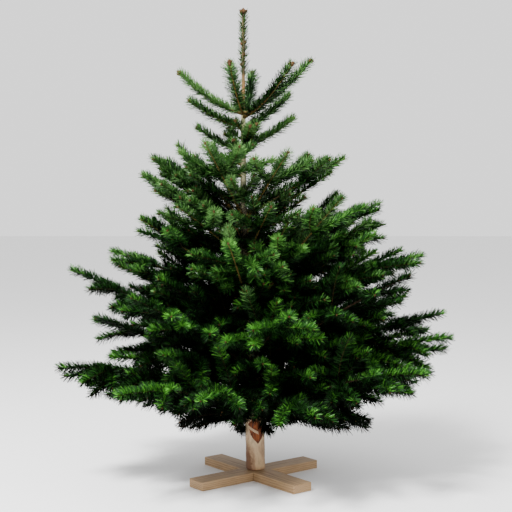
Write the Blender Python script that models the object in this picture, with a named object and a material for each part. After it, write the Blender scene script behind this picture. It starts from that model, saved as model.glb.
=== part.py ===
"""A cut fir tree, 1.75 m tall, on a plain cross of two lapped boards.

Metres, +Z up. The origin is the middle of the stand's flat underside. A bough's azimuth is measured
from +X, turning towards +Y, and every height of the tree is measured from the trunk's flat cut.
"""

import math
import random

import bmesh
import bpy
from mathutils import Vector

UP = Vector((0.0, 0.0, 1.0))
GAP = 0.0003  # left between pieces that touch
SEED = 12

# Stand: two boards halved into each other.
BOARD_LENGTH = 0.56
BOARD_WIDTH = 0.085
BOARD_HEIGHT = 0.032
BOARD_TURN = 38.0  # degrees from +X to the lower board
BOARD_CHAMFER = 0.003
FOOT_HEIGHT = BOARD_HEIGHT + GAP  # of the trunk's cut above the floor

# Trunk: it sweeps a little towards -X on its way up.
TREE_HEIGHT = 1.75
TRUNK_TOP = 1.56  # where the leading shoot's needles take over
TRUNK_SWEEP = 0.046
SWEEP_HEIGHT = 1.1
TRUNK_SIDES = 12
TRUNK_RADII = (  # height, radius: the stem narrows above each whorl of boughs
    (0.0, 0.0350),
    (0.006, 0.0370),
    (0.16, 0.0375),
    (0.27, 0.0345),
    (0.44, 0.0270),
    (0.62, 0.0205),
    (0.80, 0.0165),
    (0.97, 0.0130),
    (1.22, 0.0100),
    (1.345, 0.0092),
    (1.375, 0.0066),
    (TRUNK_TOP, 0.0050),
)

# Leading shoot: short tiers of needles, a little wider at the cluster of buds on its tip.
LEADER_TIERS = 5
LEADER_NEEDLE = 0.0125
LEADER_CORE = 0.0045
LEADER_BARE, LEADER_PITCH = 0.03, 0.185  # shares of the leading shoot's length
LEADER_TIP_SWELL = 1.15

# Boughs: the root's radius grows with the bough's length.
ROOT_RADIUS_MIN = 0.0036
ROOT_RADIUS_GAIN, ROOT_RADIUS_POWER = 0.0098, 1.4
ROOT_FLARE = 1.15
ROOT_DEPTH = 0.5  # share of the trunk's radius at which a bough starts, before the trunk's room is cut
BARE_FOOT = 0.014  # bare length of a spray's stem at the trunk
LIMB_SIDES = 6
LIMB_RINGS = 5
LIMB_TAPER = 0.72
LIMB_REACH_MIN = 0.6  # a shorter bough is needled from the trunk, as part of its spray
SPRAY_FOOT = 0.008  # bare length of a spray's stem at its limb

# Needled shoots: a slim three-sided core with tiers of forward needle sprays standing out of it.
CORE_RADIUS = 0.0085
CORE_TAPER = 0.35
TIER_PITCH = 0.078
TIER_SWEEP = 1.08  # a tier's tips lie this many pitches ahead of its root
LAST_TIER_SWEEP = 0.62
SPRAY_CORNERS = ((90.0, 0.85), (205.0, 1.08), (335.0, 1.08))  # angle round the twig, share of reach
WIDEST_CORNER = max(share for angle, share in SPRAY_CORNERS)

# Branching: side twigs leave in pairs at each year's node, counted from the bough's tip.
LAST_YEAR_SHARE = 0.42  # the newest internode, as a share of the bough's length
LAST_YEAR_MIN, LAST_YEAR_MAX = 0.12, 0.20
YEAR_SHRINK = 0.84  # each older internode against the next
NODE_MARGIN = 0.02  # no node lies nearer to the needles' start
SIDE_ANGLE, TWIG_ANGLE = 57.0, 51.0
ANGLE_SPREAD = 5.0
SIDE_FORWARD = 13.0  # degrees by which a side twig turns towards the bough's tip
SIDE_RATIO = 0.85  # a side twig's length against the way left to the bough's tip
SIDE_SLOWING = 0.34  # by how much the oldest side twigs fall short of that
TWIG_RATIO = 0.72  # the same for a side twig's own pairs of twigs
SIDE_MIN = 0.115
SIDE_CORE, TWIG_CORE = 0.0060, 0.0051  # radius of a side twig and of its twigs where they leave
SIDE_SHARES = (1.0, 0.8, 0.62)  # a side twig in the way of its neighbours is tried at these lengths
TWIG_HANG = 0.6  # a twig's hang against its side twig's

# Room kept round each shoot.
SHOOT_CLEARANCE = 0.0015
SAMPLE_STEP = 0.012
FOOT_LENGTH = 0.03  # of a bough beside the trunk, where it needs no room of its own
BARE_STEP, BARE_MOST = 0.01, 0.6  # how a crowded shoot's needles start further out

# Each tier of the crown: limb is the share of a long bough that is bare wood, bow is how far the bough's
# control point lies above its chord as a share of its reach, hang is how steeply its side twigs drop or
# None where it has none yet, needle is the reach of the needles, and a bough is (height, azimuth, reach,
# rise).
TIERS = {
    "top": dict(
        limb=0.0,
        bow=-0.22,
        hang=None,
        needle=0.019,
        boughs=(
            (1.358, 186, 0.250, 0.158),
            (1.358, 4, 0.263, 0.209),
            (1.344, 314, 0.262, 0.186),
            (1.358, 80, 0.210, 0.187),
            (1.358, 257, 0.215, 0.173),
        ),
    ),
    "neck": dict(
        limb=0.0,
        bow=-0.14,
        hang=None,
        needle=0.019,
        boughs=(
            (1.306, 204, 0.225, 0.099),
            (1.300, 26, 0.204, 0.144),
            (1.215, 166, 0.190, 0.101),
            (1.235, 345, 0.203, 0.108),
            (1.240, 282, 0.130, 0.067),
        ),
    ),
    "upper": dict(
        limb=0.0,
        bow=0.02,
        hang=-0.05,
        needle=0.022,
        boughs=(
            (0.965, 247, 0.340, 0.266),
            (0.945, 298, 0.340, 0.255),
            (0.965, 346, 0.385, 0.221),
            (0.975, 48, 0.383, 0.235),
            (0.960, 108, 0.345, 0.251),
            (0.965, 170, 0.361, 0.231),
        ),
    ),
    "inner": dict(
        limb=0.0,
        bow=0.04,
        hang=0.02,
        needle=0.024,
        boughs=(
            (0.880, 192, 0.387, 0.240),
            (0.800, 234, 0.404, 0.209),
            (0.800, 284, 0.380, 0.209),
            (0.760, 15, 0.545, 0.259),
        ),
    ),
    "high": dict(
        limb=0.0,
        bow=0.07,
        hang=0.10,
        needle=0.025,
        boughs=(
            (0.620, 166, 0.559, 0.210),
            (0.660, 212, 0.448, 0.302),
            (0.620, 262, 0.470, 0.265),
            (0.600, 317, 0.453, 0.440),
            (0.570, 356, 0.657, 0.255),
            (0.660, 34, 0.590, 0.250),
            (0.620, 100, 0.500, 0.270),
        ),
    ),
    "middle": dict(
        limb=0.18,
        bow=0.06,
        hang=0.20,
        needle=0.025,
        boughs=(
            (0.420, 184, 0.680, 0.349),
            (0.392, 230, 0.628, 0.309),
            (0.420, 282, 0.600, 0.230),
            (0.392, 322, 0.687, 0.382),
            (0.375, 4, 0.740, 0.218),
            (0.415, 66, 0.595, 0.275),
            (0.395, 125, 0.595, 0.285),
        ),
    ),
    "low": dict(
        limb=0.20,
        bow=0.13,
        hang=0.30,
        needle=0.025,
        boughs=(
            (0.242, 192, 0.736, 0.171),
            (0.275, 160, 0.684, 0.273),
            (0.215, 228, 0.680, 0.160),
            (0.245, 254, 0.630, 0.130),
            (0.225, 290, 0.595, 0.085),
            (0.205, 325, 0.725, 0.225),
            (0.262, 355, 0.745, 0.252),
            (0.220, 42, 0.730, 0.220),
            (0.250, 102, 0.700, 0.180),
        ),
    ),
}


# Meshes and objects


def clear_scene():
    for obj in list(bpy.data.objects):
        bpy.data.objects.remove(obj)


def material(name, color, roughness):
    made = bpy.data.materials.new(name)
    made.use_nodes = True
    shader = made.node_tree.nodes["Principled BSDF"]
    shader.inputs["Base Color"].default_value = (*color, 1.0)
    shader.inputs["Roughness"].default_value = roughness
    shader.inputs["Metallic"].default_value = 0.0
    return made


def new_object(name, mesh, skin):
    obj = bpy.data.objects.new(name, mesh)
    bpy.context.scene.collection.objects.link(obj)
    mesh.materials.append(skin)
    return obj


def loft(name, rings, apex=None):
    """A closed mesh through rings of equally many points, ending in a flat cap or at an apex."""
    mesh = bpy.data.meshes.new(name)
    bm = bmesh.new()
    loops = [[bm.verts.new(p) for p in ring] for ring in rings]
    sides = len(rings[0])
    for near, far in zip(loops, loops[1:]):
        for i in range(sides):
            j = (i + 1) % sides
            bm.faces.new((near[i], near[j], far[j], far[i]))
    bm.faces.new(loops[0][::-1])
    if apex is None:
        bm.faces.new(loops[-1])
    else:
        tip = bm.verts.new(apex)
        for i in range(sides):
            bm.faces.new((loops[-1][i], loops[-1][(i + 1) % sides], tip))
    bmesh.ops.triangulate(bm, faces=bm.faces)
    bmesh.ops.recalc_face_normals(bm, faces=bm.faces)
    bm.to_mesh(mesh)
    bm.free()
    return mesh


def ring(centre, across, along, radius, sides):
    """Points round a centre, in the plane of two directions."""
    turns = [2 * math.pi * k / sides for k in range(sides)]
    return [centre + across * (radius * math.cos(a)) + along * (radius * math.sin(a)) for a in turns]


def cut_by(obj, cutter, name):
    cut = obj.modifiers.new(name, "BOOLEAN")
    cut.operation = "DIFFERENCE"
    cut.solver = "EXACT"
    cut.object = cutter
    cutter.hide_render = True
    cutter.display_type = "WIRE"


def join_all(target, others):
    """One Boolean union of the target with the other objects, applied, which are then removed."""
    group = bpy.data.collections.new("spray parts")
    bpy.context.scene.collection.children.link(group)
    for other in others:
        bpy.context.scene.collection.objects.unlink(other)
        group.objects.link(other)
    union = target.modifiers.new("union", "BOOLEAN")
    union.operation = "UNION"
    union.operand_type = "COLLECTION"
    union.collection = group
    union.solver = "MANIFOLD"
    bpy.context.view_layer.update()
    graph = bpy.context.evaluated_depsgraph_get()
    joined = bpy.data.meshes.new_from_object(target.evaluated_get(graph))
    target.modifiers.clear()
    target.data = joined
    for other in list(group.objects):
        bpy.data.objects.remove(other)
    bpy.data.collections.remove(group)


# Curves


class Curve:
    """A quadratic curve through start and end, pulled towards control."""

    def __init__(self, start, control, end):
        self.start, self.control, self.end = start, control, end
        steps = [self.point(i / 16) for i in range(17)]
        self.length = sum((b - a).length for a, b in zip(steps, steps[1:]))

    def point(self, t):
        return self.start * (1 - t) ** 2 + self.control * (2 * t * (1 - t)) + self.end * t**2

    def tangent(self, t):
        ahead = (self.control - self.start) * (1 - t) + (self.end - self.control) * t
        return ahead.normalized()

    def axes(self, t):
        """The directions to the side and upwards, square to the curve."""
        ahead = self.tangent(t)
        side = ahead.cross(UP).normalized()
        return side, side.cross(ahead).normalized()

    def part(self, t0, t1):
        """The same curve from t0 to t1."""
        start, end = self.point(t0), self.point(t1)
        control = start + (self.control * (1 - t0) + self.end * t0 - start) * ((t1 - t0) / (1 - t0))
        return Curve(start, control, end)


def trunk_point(height):
    """The middle of the trunk at a height above its cut."""
    share = min(1.0, height / SWEEP_HEIGHT)
    return Vector((-TRUNK_SWEEP * share**2 * (3 - 2 * share), 0.0, FOOT_HEIGHT + height))


def trunk_radius(height):
    for (low, low_radius), (high, high_radius) in zip(TRUNK_RADII, TRUNK_RADII[1:]):
        if height <= high:
            return low_radius + (high_radius - low_radius) * (height - low) / (high - low)
    return TRUNK_RADII[-1][1]


def bough_curve(height, azimuth, reach, rise, bow):
    outward = Vector((math.cos(math.radians(azimuth)), math.sin(math.radians(azimuth)), 0.0))
    root = trunk_point(height)
    start = root + outward * (trunk_radius(height) * ROOT_DEPTH)
    end = root + outward * reach + UP * rise
    control = (start + end) / 2 + UP * (bow * reach)
    return Curve(start, control, end)


def side_curve(parent, t, length, hand, angle, hang):
    """A twig that leaves its parent at t, on one hand, turns forward and hangs or lifts."""
    start, ahead = parent.point(t), parent.tangent(t)
    side, _ = parent.axes(t)
    leaving, ending = math.radians(angle), math.radians(angle - SIDE_FORWARD)
    first = ahead * math.cos(leaving) + side * (hand * math.sin(leaving)) - UP * (hang * 0.3)
    whole = ahead * math.cos(ending) + side * (hand * math.sin(ending)) - UP * hang
    return Curve(start, start + first.normalized() * (length / 2), start + whole.normalized() * length)


def nodes_along(curve, newest, bare):
    """Each year's node as (t on the curve, way left to the tip), from the tip inwards."""
    left, year = newest, newest
    while left < curve.length - bare - NODE_MARGIN:
        yield 1 - left / curve.length, left
        year *= YEAR_SHRINK
        left += year


# Shoots and boughs


class Shoot:
    """One needled twig: its curve, the stem's radius at its foot and where its needles begin."""

    def __init__(self, curve, stem_radius, bare, needle):
        self.curve, self.stem_radius, self.needle = curve, stem_radius, needle
        self.start_needles(bare)

    def start_needles(self, bare):
        self.bare = bare
        self.needled = self.curve.length - bare
        self.pitches = max(2, round(self.needled / TIER_PITCH))

    def reach_at(self, share):
        """How far the needles stand out at a share of the needled length."""
        return self.needle * min(1.0, 0.62 + 2.2 * share, 0.80 + 1.4 * (1 - share))

    def spheres(self):
        """Points along the shoot, each with the radius that its needles fill."""
        count = max(4, int(self.curve.length / SAMPLE_STEP))
        first_tier = TIER_SWEEP * self.needled / self.pitches
        filled = []
        for i in range(count + 1):
            past = i / count * self.curve.length - self.bare
            opened = max(0.0, min(1.0, past / first_tier))
            radius = self.reach_at(max(0.0, past / self.needled)) * WIDEST_CORNER
            radius = self.stem_radius + (radius - self.stem_radius) * opened
            filled.append((self.curve.point(i / count), radius))
        return filled

    def corners(self, way, radius, even=False):
        """The three corners of a tier, at a way along the curve."""
        t = min(way / self.curve.length, 1.0)
        centre = self.curve.point(t)
        side, up = self.curve.axes(t)
        points = []
        for angle, share in SPRAY_CORNERS:
            out = radius * (1.0 if even else share)
            turn = math.radians(angle)
            points.append(centre + side * (out * math.cos(turn)) + up * (out * math.sin(turn)))
        return points

    def mesh(self, name):
        pitch = self.needled / self.pitches
        rings = [self.corners(0.0, self.stem_radius, even=True)]
        if self.bare > 0:
            rings.append(self.corners(self.bare, self.stem_radius, even=True))
        for i in range(self.pitches):
            root = self.bare + i * pitch
            sweep = LAST_TIER_SWEEP if i == self.pitches - 1 else TIER_SWEEP
            if i:
                rings.append(self.corners(root, CORE_RADIUS * (1 - CORE_TAPER * i / self.pitches)))
            rings.append(self.corners(root + pitch * sweep, self.reach_at((i + 1) / (self.pitches + 1))))
        return loft(name, rings, self.curve.end)


class Space:
    """What the limbs and shoots already fill, so that each spray keeps to its own space."""

    def __init__(self):
        self.taken = []

    def add(self, owner, spheres):
        self.taken += [(owner, point, radius) for point, radius in spheres]

    def is_free(self, owner, spheres):
        for point, radius in spheres:
            for other, centre, filled in self.taken:
                if other != owner and (point - centre).length < radius + filled + SHOOT_CLEARANCE:
                    return False
        return True


class Bough:
    """A bough of one tier: its limb, if it has one, and the shoots of its spray."""

    def __init__(self, tier, number, height, azimuth, reach, rise):
        plan = TIERS[tier]
        self.tier, self.number = tier, number
        self.hang, self.needle = plan["hang"], plan["needle"]
        self.rng = random.Random(SEED * 1000 + round(height * 1000) + azimuth)
        whole = bough_curve(height, azimuth, reach, rise, plan["bow"])
        self.newest = min(LAST_YEAR_MAX, max(LAST_YEAR_MIN, whole.length * LAST_YEAR_SHARE))
        self.root_radius = ROOT_RADIUS_MIN + ROOT_RADIUS_GAIN * whole.length**ROOT_RADIUS_POWER
        self.limb = None
        if plan["limb"] and reach >= LIMB_REACH_MIN:
            self.limb = whole.part(0.0, plan["limb"])
            self.axis = whole.part(plan["limb"] + GAP / whole.length, 1.0)
            stem, bare = self.root_radius * LIMB_TAPER, SPRAY_FOOT
        else:
            self.axis = whole
            stem, bare = self.root_radius, trunk_radius(height) * (1 - ROOT_DEPTH) + BARE_FOOT
        self.shoots = [Shoot(self.axis, stem, bare, self.needle)]

    def keep(self, space, shoot):
        space.add(self, shoot.spheres())
        self.shoots.append(shoot)

    def clear_limb(self, space):
        if self.limb is not None:
            count = max(4, int(self.limb.length / SAMPLE_STEP))
            space.add(self, [(self.limb.point(i / count), self.root_radius) for i in range(count + 1)])

    def clear_main_shoot(self, space):
        """Start the main shoot's needles further out until it is free of its neighbours."""
        main = self.shoots[0]
        foot = self.axis.point(0.0)
        while not space.is_free(self, [s for s in main.spheres() if (s[0] - foot).length > FOOT_LENGTH]):
            main.start_needles(main.bare + BARE_STEP)
            if main.bare > BARE_MOST * main.curve.length:
                raise ValueError(f"{self.tier} bough {self.number} has no room")
        space.add(self, main.spheres())

    def side_plans(self):
        """Pairs of side twigs at the nodes of the bough's axis, as (t, length, hand, angle)."""
        plans = []
        if self.hang is None:
            return plans
        for t, left in nodes_along(self.axis, self.newest, self.shoots[0].bare):
            length = SIDE_RATIO * left * (1 - SIDE_SLOWING * left / self.axis.length)
            for hand in (-1, 1):
                angle = SIDE_ANGLE + self.rng.uniform(-ANGLE_SPREAD, ANGLE_SPREAD)
                plans.append((t, length * self.rng.uniform(0.9, 1.08), hand, angle))
        return plans

    def grow_side(self, space, t, length, hand, angle):
        """The side twig, shortened until it is free of what others fill, or None."""
        for share in SIDE_SHARES:
            if length * share < SIDE_MIN:
                return None
            curve = side_curve(self.axis, t, length * share, hand, angle, self.hang)
            shoot = Shoot(curve, SIDE_CORE, 0.0, self.needle)
            if space.is_free(self, shoot.spheres()):
                self.keep(space, shoot)
                return shoot
        return None

    def grow_twigs(self, space, side):
        """Pairs of twigs at the nodes of a side twig."""
        for t, left in nodes_along(side.curve, self.newest * SIDE_RATIO, 0.0):
            for hand in (-1, 1):
                angle = TWIG_ANGLE + self.rng.uniform(-ANGLE_SPREAD, ANGLE_SPREAD)
                length = TWIG_RATIO * left * self.rng.uniform(0.85, 1.1)
                curve = side_curve(side.curve, t, length, hand, angle, self.hang * TWIG_HANG)
                twig = Shoot(curve, TWIG_CORE, 0.0, self.needle)
                if length > SIDE_MIN and space.is_free(self, twig.spheres()):
                    self.keep(space, twig)


def grow_crown():
    """Every bough with its shoots, none of which enters another bough's space."""
    boughs = []
    for tier, plan in TIERS.items():
        boughs += [Bough(tier, i + 1, *place) for i, place in enumerate(plan["boughs"])]
    space = Space()
    heights = [i * SAMPLE_STEP for i in range(int(TRUNK_TOP / SAMPLE_STEP))]
    space.add("trunk", [(trunk_point(h), trunk_radius(h)) for h in heights])
    for bough in boughs:
        bough.clear_limb(space)
        bough.clear_main_shoot(space)
    plans = [(bough, plan) for bough in boughs for plan in bough.side_plans()]
    plans.sort(key=lambda entry: entry[1][1])
    sides = [(bough, bough.grow_side(space, *plan)) for bough, plan in plans]
    for bough, side in sides:
        if side is not None:
            bough.grow_twigs(space, side)
    return boughs


# The tree's pieces


def make_trunk(name, skin, grown=0.0):
    across, along = Vector((1, 0, 0)), Vector((0, 1, 0))
    rings = [ring(trunk_point(h), across, along, r + grown, TRUNK_SIDES) for h, r in TRUNK_RADII]
    return new_object(name, loft(name, rings), skin)


def make_leading_shoot(needles):
    """The top of the leading shoot, with short needles and a cluster of buds at its tip."""
    foot = trunk_point(TRUNK_TOP) + UP * GAP
    tip = trunk_point(TREE_HEIGHT)

    def tier(share, radius):
        return ring(foot.lerp(tip, share), Vector((0, 1, 0)), Vector((-1, 0, 0)), radius, 3)

    rings = [tier(0.0, LEADER_CORE)]
    for i in range(LEADER_TIERS):
        root, ahead = LEADER_BARE + i * LEADER_PITCH, LEADER_BARE + (i + 1) * LEADER_PITCH
        if i:
            rings.append(tier(root, LEADER_CORE))
        rings.append(tier(ahead, LEADER_NEEDLE * (LEADER_TIP_SWELL if i == LEADER_TIERS - 1 else 1.0)))
    return new_object("leading_shoot", loft("leading_shoot", rings, tip), needles)


def make_limb(bough, bark):
    """The bare, tapering limb from the trunk to where its spray begins."""
    rings = []
    for i in range(LIMB_RINGS):
        t = i / (LIMB_RINGS - 1)
        side, up = bough.limb.axes(t)
        radius = bough.root_radius * (1 - (1 - LIMB_TAPER) * t) * (ROOT_FLARE if i == 0 else 1.0)
        rings.append(ring(bough.limb.point(t), side, UP if i == 0 else up, radius, LIMB_SIDES))
    return new_object(f"{bough.tier}_bough_{bough.number}", loft("limb", rings), bark)


def make_spray(bough, needles):
    """The bough's mass of foliage: its shoots fused into one closed body."""
    kind = "spray" if len(bough.shoots) > 1 else "shoot"
    name = f"{bough.tier}_{kind}_{bough.number}"
    spray = new_object(name, bough.shoots[0].mesh(name), needles)
    twigs = [new_object("twig", shoot.mesh("twig"), needles) for shoot in bough.shoots[1:]]
    if twigs:
        join_all(spray, twigs)
    return spray


# The stand


def box_mesh(name, length, width, low, high):
    """A box centred on the origin in X and Y, from one height to another."""
    corners = ((-1, -1), (1, -1), (1, 1), (-1, 1))
    rings = [[Vector((x * length / 2, y * width / 2, z)) for x, y in corners] for z in (low, high)]
    return loft(name, rings)


def make_board(name, turn, notch_low, notch_high, wood):
    """One board of the cross, its edges eased, halved in the middle for the other."""
    board = new_object(name, box_mesh(name, BOARD_LENGTH, BOARD_WIDTH, 0.0, BOARD_HEIGHT), wood)
    board.rotation_euler.z = math.radians(turn)
    ease = board.modifiers.new("eased edges", "BEVEL")
    ease.width = BOARD_CHAMFER
    ease.segments = 1
    ease.limit_method = "ANGLE"
    cutter_mesh = box_mesh("notch", BOARD_WIDTH + 2 * GAP, 2 * BOARD_WIDTH, notch_low, notch_high)
    notch = new_object(f"{name}_notch", cutter_mesh, wood)
    notch.rotation_euler.z = math.radians(turn)
    cut_by(board, notch, "halving")


def main():
    clear_scene()
    bark = material("fir bark", (0.50, 0.42, 0.33), 0.8)
    needles = material("fir needles", (0.04, 0.16, 0.03), 0.5)
    wood = material("sawn softwood", (0.68, 0.52, 0.34), 0.7)

    half = BOARD_HEIGHT / 2
    make_board("lower_board", BOARD_TURN, half, 2 * BOARD_HEIGHT, wood)
    make_board("upper_board", BOARD_TURN + 90, -BOARD_HEIGHT, half + GAP, wood)

    make_trunk("trunk", bark)
    room = make_trunk("trunk_room", bark, GAP / math.cos(math.pi / TRUNK_SIDES))
    make_leading_shoot(needles)
    for bough in grow_crown():
        spray = make_spray(bough, needles)
        rooted = spray if bough.limb is None else make_limb(bough, bark)
        cut_by(rooted, room, "room for the trunk")


main()
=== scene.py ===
import itertools
import math
import random

import bpy
import numpy as np
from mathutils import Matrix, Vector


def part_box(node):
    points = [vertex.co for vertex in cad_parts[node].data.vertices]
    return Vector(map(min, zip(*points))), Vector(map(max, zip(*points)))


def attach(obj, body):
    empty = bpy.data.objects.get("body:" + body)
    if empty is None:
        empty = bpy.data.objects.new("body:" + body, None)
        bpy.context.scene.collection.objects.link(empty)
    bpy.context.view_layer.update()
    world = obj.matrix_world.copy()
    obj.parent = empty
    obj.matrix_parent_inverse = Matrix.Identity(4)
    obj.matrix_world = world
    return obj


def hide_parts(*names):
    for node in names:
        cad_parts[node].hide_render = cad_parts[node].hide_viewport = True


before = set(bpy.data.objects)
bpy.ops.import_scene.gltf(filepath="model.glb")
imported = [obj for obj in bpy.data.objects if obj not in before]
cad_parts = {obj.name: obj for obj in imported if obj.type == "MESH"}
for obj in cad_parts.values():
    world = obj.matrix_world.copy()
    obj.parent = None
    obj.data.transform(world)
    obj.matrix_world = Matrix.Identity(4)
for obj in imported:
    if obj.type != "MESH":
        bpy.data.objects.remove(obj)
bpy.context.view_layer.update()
up = np.array((0.0, 0.0, 1.0))

# The tree's own sizes, in metres and degrees. A bough's azimuth is measured from +X towards +Y, and heights
# of the tree from the trunk's cut.
tree = dict(
    footHeight=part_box("trunk")[0].z,
    sweep=0.046,
    sweepHeight=1.1,
    trunkTop=1.56,
    trunkRadii=(
        (0.0, 0.0350), (0.006, 0.0370), (0.16, 0.0375), (0.27, 0.0345), (0.44, 0.0270), (0.62, 0.0205),
        (0.80, 0.0165), (0.97, 0.0130), (1.22, 0.0100), (1.345, 0.0092), (1.375, 0.0066), (1.56, 0.0050),
    ),
)

# Each tier of boughs: limb is the bare share of a long bough, bow lifts its middle as a share of its reach,
# hang drops its side twigs, needle is how far the needles stand out, and a bough is (height, azimuth, reach,
# rise).
tiers = dict(
    top=dict(limb=0.0, bow=-0.22, hang=None, needle=0.019, boughs=(
        (1.358, 186, 0.250, 0.158), (1.358, 4, 0.263, 0.209), (1.344, 314, 0.262, 0.186),
        (1.358, 80, 0.210, 0.187), (1.358, 257, 0.215, 0.173),
    )),
    neck=dict(limb=0.0, bow=-0.14, hang=None, needle=0.019, boughs=(
        (1.306, 204, 0.225, 0.099), (1.300, 26, 0.204, 0.144), (1.215, 166, 0.190, 0.101),
        (1.235, 345, 0.203, 0.108), (1.240, 282, 0.130, 0.067),
    )),
    upper=dict(limb=0.0, bow=0.02, hang=-0.05, needle=0.022, boughs=(
        (0.965, 247, 0.340, 0.266), (0.945, 298, 0.340, 0.255), (0.965, 346, 0.385, 0.221),
        (0.975, 48, 0.383, 0.235), (0.960, 108, 0.345, 0.251), (0.965, 170, 0.361, 0.231),
    )),
    inner=dict(limb=0.0, bow=0.04, hang=0.02, needle=0.024, boughs=(
        (0.880, 192, 0.387, 0.240), (0.800, 234, 0.404, 0.209), (0.800, 284, 0.380, 0.209),
        (0.760, 15, 0.545, 0.259),
    )),
    high=dict(limb=0.0, bow=0.07, hang=0.10, needle=0.025, boughs=(
        (0.620, 166, 0.559, 0.210), (0.660, 212, 0.448, 0.302), (0.620, 262, 0.470, 0.265),
        (0.600, 317, 0.453, 0.440), (0.570, 356, 0.657, 0.255), (0.660, 34, 0.590, 0.250),
        (0.620, 100, 0.500, 0.270),
    )),
    middle=dict(limb=0.18, bow=0.06, hang=0.20, needle=0.025, boughs=(
        (0.420, 184, 0.680, 0.349), (0.392, 230, 0.628, 0.309), (0.420, 282, 0.600, 0.230),
        (0.392, 322, 0.687, 0.382), (0.375, 4, 0.740, 0.218), (0.415, 66, 0.595, 0.275),
        (0.395, 125, 0.595, 0.285),
    )),
    low=dict(limb=0.20, bow=0.13, hang=0.30, needle=0.025, boughs=(
        (0.242, 192, 0.736, 0.171), (0.275, 160, 0.684, 0.273), (0.215, 228, 0.680, 0.160),
        (0.245, 254, 0.630, 0.130), (0.225, 290, 0.595, 0.085), (0.205, 325, 0.725, 0.225),
        (0.262, 355, 0.745, 0.252), (0.220, 42, 0.730, 0.220), (0.250, 102, 0.700, 0.180),
    )),
)

# How the boughs branch: the same rule that gave the solids their shoots.
branching = dict(
    seed=12,
    newestShare=0.42, newestLeast=0.12, newestMost=0.20,  # the newest internode against its bough
    yearShrink=0.84,
    nodeMargin=0.02,
    sideAngle=57.0, twigAngle=51.0, angleSpread=5.0,
    sideForward=13.0, earlyHang=0.3,  # a side twig bends forward, and hangs less where it leaves
    sideRatio=0.85, sideSlowing=0.34, twigRatio=0.72,
    sideLeast=0.115,
    sideShares=(1.0, 0.8, 0.62),  # a crowded side twig is tried at these lengths
    twigHang=0.6,
    rootRadius=0.0036, rootGain=0.0098, rootPower=1.4, rootDepth=0.5,
    bareFoot=0.014, limbLeast=0.6, sprayFoot=0.008, jointGap=0.0003,
    limbTaper=0.72,
    sideStem=0.0060, twigStem=0.0051,  # room that a side twig and its twigs take where they leave
    tierPitch=0.078, tierSweep=1.08, widestCorner=1.08,
    clearance=0.0015, sampleStep=0.012, footLength=0.03, bareStep=0.01,
)

# The finer twigs that fill the sprays out. A pair of numbers is the least and the most of a draw.
fineTwigs = dict(
    seed=5,
    least=0.045,  # no twig is shorter
    stemGap=0.022,  # between the middles of two stems
    clearShare=0.3,  # of a new twig's length near its parent, where it needs no such gap
    starTiers=("upper", "inner", "high"), starGain=1.3,  # their last side twigs against the solids'
    risingAngles=(36.0, 55.0), risingShare=0.8,  # the odd twigs on top of each node
    risingLeans=((-0.5, 0.1), (0, 0.9)), risingLength=(0.7, 1.0), risingForward=0.25,
    openTiers=("upper", "inner"),  # whose shoots stand apart, with no twigs of their own
    pitch=0.8, turn=8, length=(0.85, 1.15),  # the pairs along a side twig
    hang=(0.2, 1.6), hangMore=(-0.05, 0.25),
    betweenAngle=56.0, betweenLength=(0.06, 0.125),  # the small twigs between two nodes
    betweenShares=(0.3, 0.65), betweenSpread=0.12, betweenTurn=12, betweenHang=(-0.2, 0.5),
    lowest=0.19, lowestRise=0.04, frontRise=0.28,  # no twig drops below this line, which rises outwards
    middleRise=0.24, middleHalf=0.26,  # and more steeply straight in front
    drop=2.4,  # how much more steeply the finer side twigs of a hanging bough drop
)
goldenAngle = 137.5

# Minor boughs stand between the main ones of two tiers, shorter, where there is room.
minorBoughs = dict(
    seed=31,
    rows=(("low", "low", 13), ("low", "middle", 15), ("middle", "high", 12), ("high", "upper", 7)),
    reachShare=(0.5, 0.8),
    heightSpread=0.03,
    flatter=0.8,  # its rise and bow against its neighbours'
    lowDrop=0.045, lowRise=0.06,  # taken from the height and the rise of those between two low boughs
    root=0.0055, bareRoots=6,  # its radius, and the bare way beside the trunk in such radii
    rootLength=0.07,  # beside the trunk, where a minor bough needs no room of its own
)

# Short shoots straight from the trunk, in the dark of the crown
trunkShoots = dict(
    count=90,
    heights=(0.24, 0.92),
    reach=(0.09, 0.15), rise=(-0.01, 0.06),
    tiers=(("low", 0.38), ("middle", 0.58), ("high", 1.0)),  # each tier's share of them, up to its height
    bow=-0.1, root=0.003, clearShare=0.4,
)

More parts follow.
